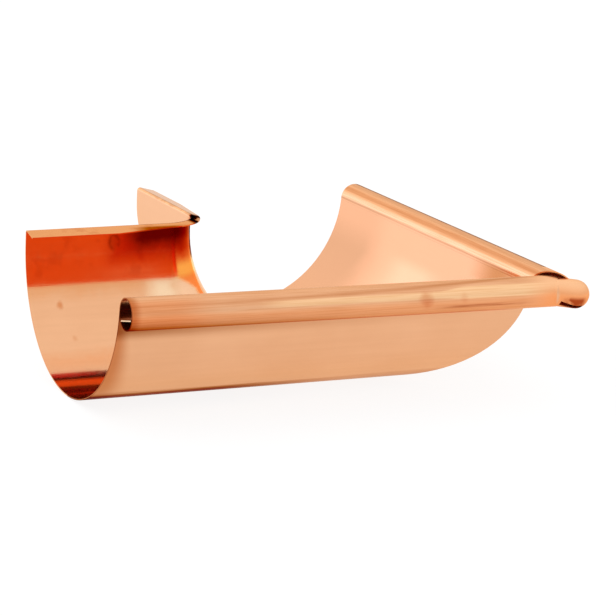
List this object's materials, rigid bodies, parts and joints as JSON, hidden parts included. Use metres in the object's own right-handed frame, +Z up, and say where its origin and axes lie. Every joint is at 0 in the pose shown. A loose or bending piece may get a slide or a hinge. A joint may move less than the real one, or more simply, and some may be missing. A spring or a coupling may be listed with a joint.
{
  "type": "gutter external angle",
  "caption": "Copper external angle for a half-round roof gutter, with a rolled front bead and a rear edge folded inwards.",
  "frame": {"origin": "middle of the part's box in plan, at the lowest line of the trough", "axes": "+X away from the open end of the left arm, +Y towards the open end of the right arm, +Z up"},
  "size_m": [0.2466, 0.2361, 0.0701],
  "materials": {
    "copper": "bright rolled copper sheet"
  },
  "bodies": {
    "root": {"gutter_angle": "copper"}
  },
  "joints": []
}
